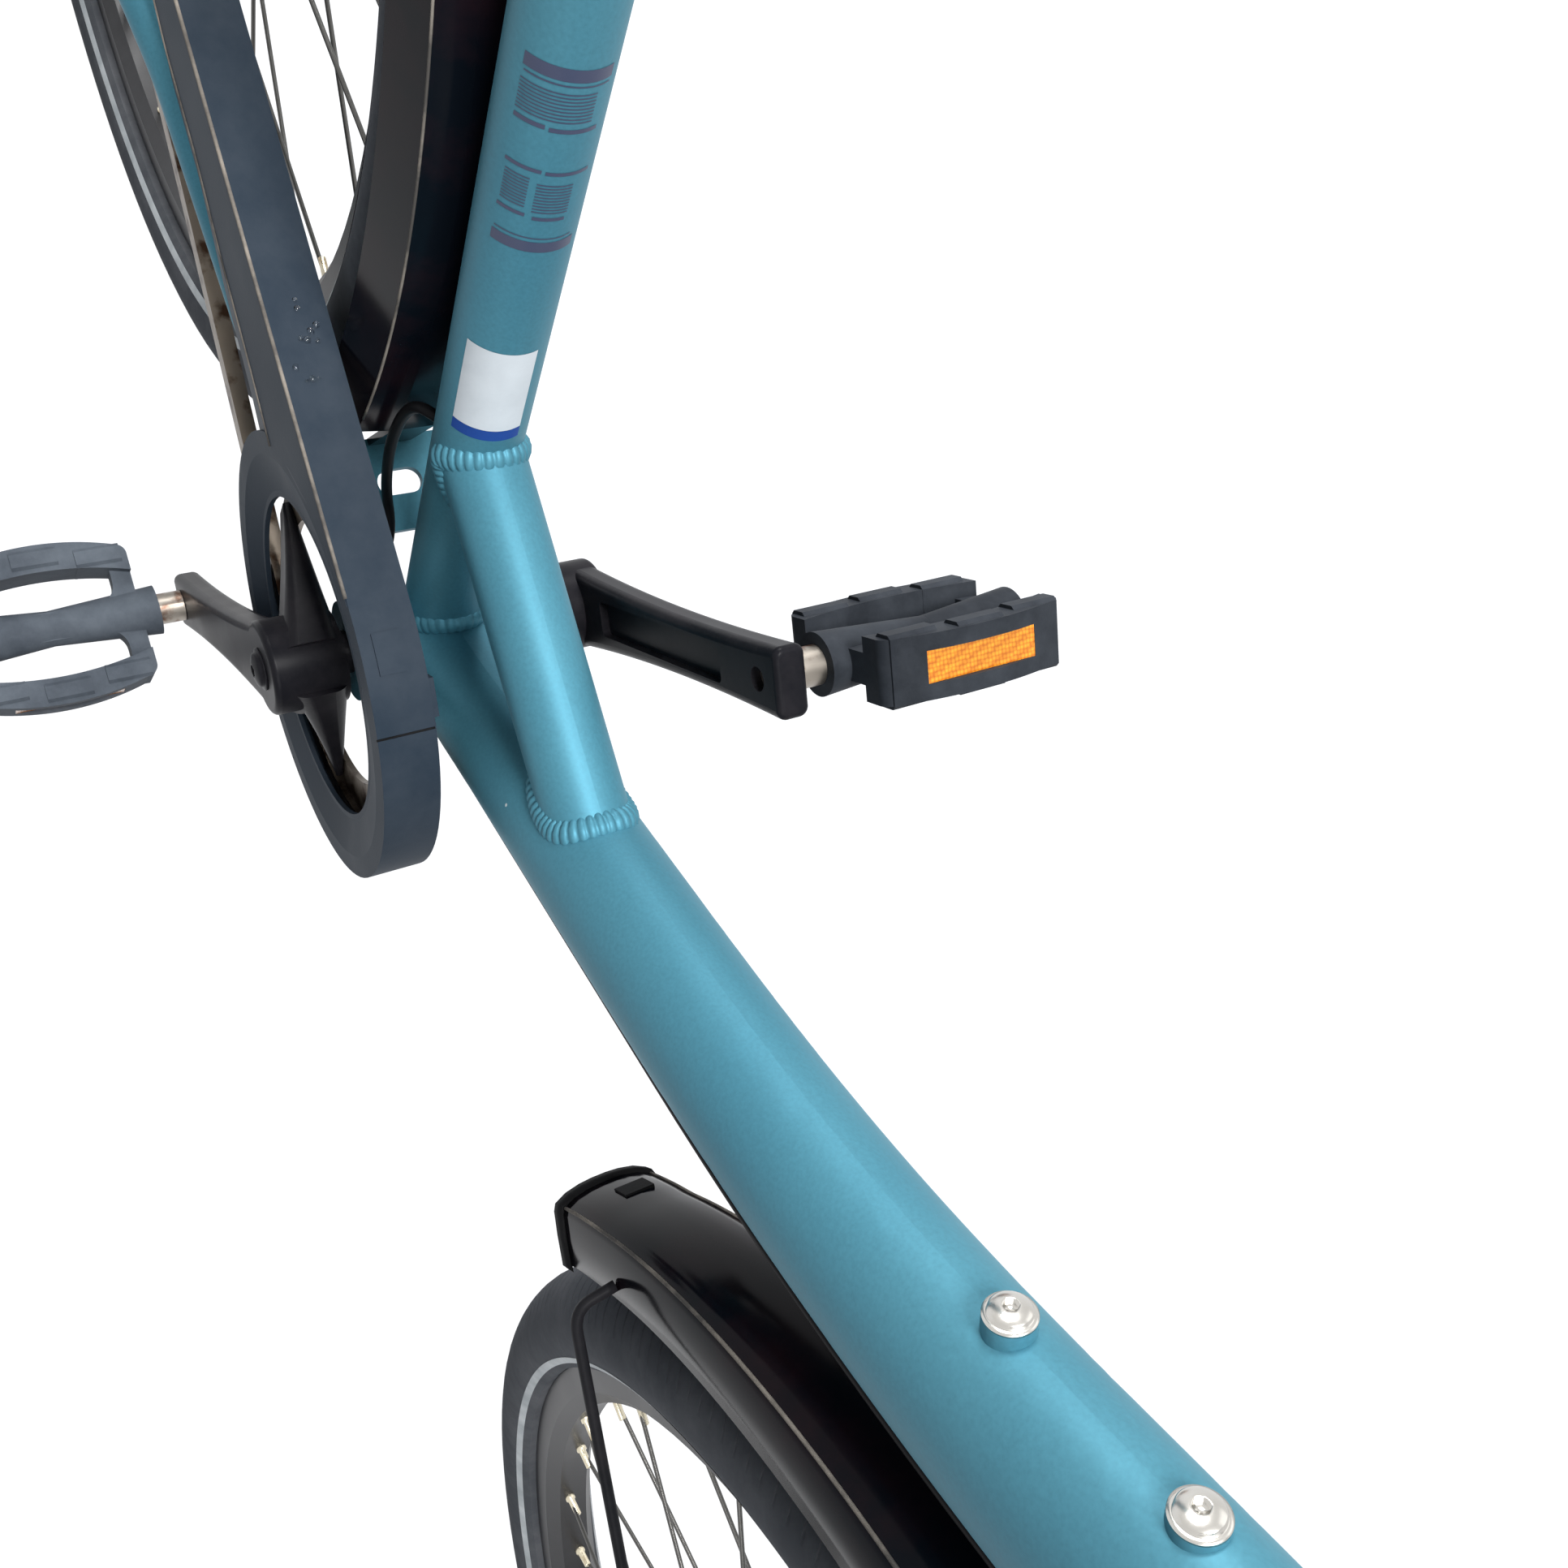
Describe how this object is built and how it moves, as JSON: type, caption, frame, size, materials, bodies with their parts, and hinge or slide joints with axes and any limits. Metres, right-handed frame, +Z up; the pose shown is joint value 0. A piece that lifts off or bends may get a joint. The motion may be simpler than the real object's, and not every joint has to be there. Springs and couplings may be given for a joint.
{
  "type": "city bicycle",
  "caption": "City bicycle with a low step-through frame, mudguards, chain guard, rear rack and disc brakes, leaning on its side stand.",
  "frame": {"origin": "middle of the bounding box at the ground", "axes": "+X forward, +Y to the rider's left, the side that it leans to, +Z up"},
  "size_m": [1.8224, 0.6418, 1.1131],
  "materials": {
    "frame": "satin metallic",
    "shell": "satin metallic",
    "black_metal": "satin",
    "steel": "satin",
    "silver": "satin",
    "saddle": "matte",
    "fender": "gloss",
    "wire": "satin",
    "rack": "satin",
    "lens_red": "gloss",
    "guard": "satin",
    "chain": "worn",
    "cable": "satin",
    "fork": "satin metallic",
    "grip": "matte",
    "lamp": "satin",
    "flap": "matte",
    "tyre": "matte",
    "rim": "satin",
    "spokes": "satin",
    "hub": "satin",
    "rotor": "satin",
    "crank": "satin",
    "chainring": "satin",
    "pedal": "matte",
    "amber": "gloss"
  },
  "bodies": {
    "frame": {"head_tube": "frame", "down_tube": "frame", "brace_tube": "frame", "seat_tube": "frame", "bottom_bracket": "shell", "headset": "black_metal", "chain_stays": "frame", "seat_stays": "frame", "rear_dropouts": "frame", "rear_axle": "steel", "seat_clamp": "silver", "seat_post": "silver", "saddle": "saddle", "rear_fender": "fender", "rear_fender_stays": "wire", "rear_rack": "rack", "rear_light": "lens_red", "chain_guard": "guard", "chain": "chain", "rear_caliper": "black_metal", "stand_bracket": "black_metal", "down_tube_cable": "cable"},
    "steering": {"fork": "fork", "stem": "silver", "handlebar": "silver", "grips": "grip", "brake_levers": "black_metal", "bell": "black_metal", "headlight": "lamp", "front_fender": "fender", "front_mudflap": "flap", "front_fender_stays": "wire", "front_caliper": "black_metal", "front_axle": "steel"},
    "front_wheel": {"front_tyre": "tyre", "front_rim": "rim", "front_spokes": "spokes", "front_hub": "hub", "front_rotor": "rotor"},
    "rear_wheel": {"rear_tyre": "tyre", "rear_rim": "rim", "rear_spokes": "spokes", "rear_hub": "hub", "rear_rotor": "rotor"},
    "cranks": {"crank_right": "crank", "chainring": "chainring", "crank_left": "crank", "pedal_axles": "steel"},
    "pedal_right": {"pedal_right": "pedal", "pedal_right_reflectors": "amber"},
    "pedal_left": {"pedal_left": "pedal", "pedal_left_reflectors": "amber"},
    "stand": {"side_stand": "black_metal"}
  },
  "joints": [
    {"name": "steering", "type": "hinge", "parent": "frame", "child": "steering", "pos_m": [0.35901, -0.04858, 0.74108], "axis": [-0.3502, 0.1465, 0.9251], "range_deg": [-70, 70]},
    {"name": "front_wheel_spin", "type": "hinge", "parent": "steering", "child": "front_wheel", "pos_m": [0.55385, -0.11, 0.35329], "axis": [0, 0.9877, -0.1564], "continuous": true},
    {"name": "rear_wheel_spin", "type": "hinge", "parent": "frame", "child": "rear_wheel", "pos_m": [-0.53175, -0.11, 0.35329], "axis": [0, 0.9877, -0.1564], "continuous": true},
    {"name": "crank_spin", "type": "hinge", "parent": "frame", "child": "cranks", "pos_m": [-0.08122, -0.11643, 0.3127], "axis": [0, 0.9877, -0.1564], "continuous": true},
    {"name": "pedal_right_spin", "type": "hinge", "parent": "cranks", "child": "pedal_right", "pos_m": [-0.14131, -0.26861, 0.17579], "axis": [0, 0.9877, -0.1564], "continuous": true},
    {"name": "pedal_left_spin", "type": "hinge", "parent": "cranks", "child": "pedal_left", "pos_m": [-0.02113, 0.03576, 0.4496], "axis": [0, 0.9877, -0.1564], "continuous": true},
    {"name": "stand_fold", "type": "hinge", "parent": "frame", "child": "stand", "pos_m": [-0.46522, -0.02197, 0.30179], "axis": [0.0049, 0.9728, 0.2316], "range_deg": [0, 92.4]}
  ]
}
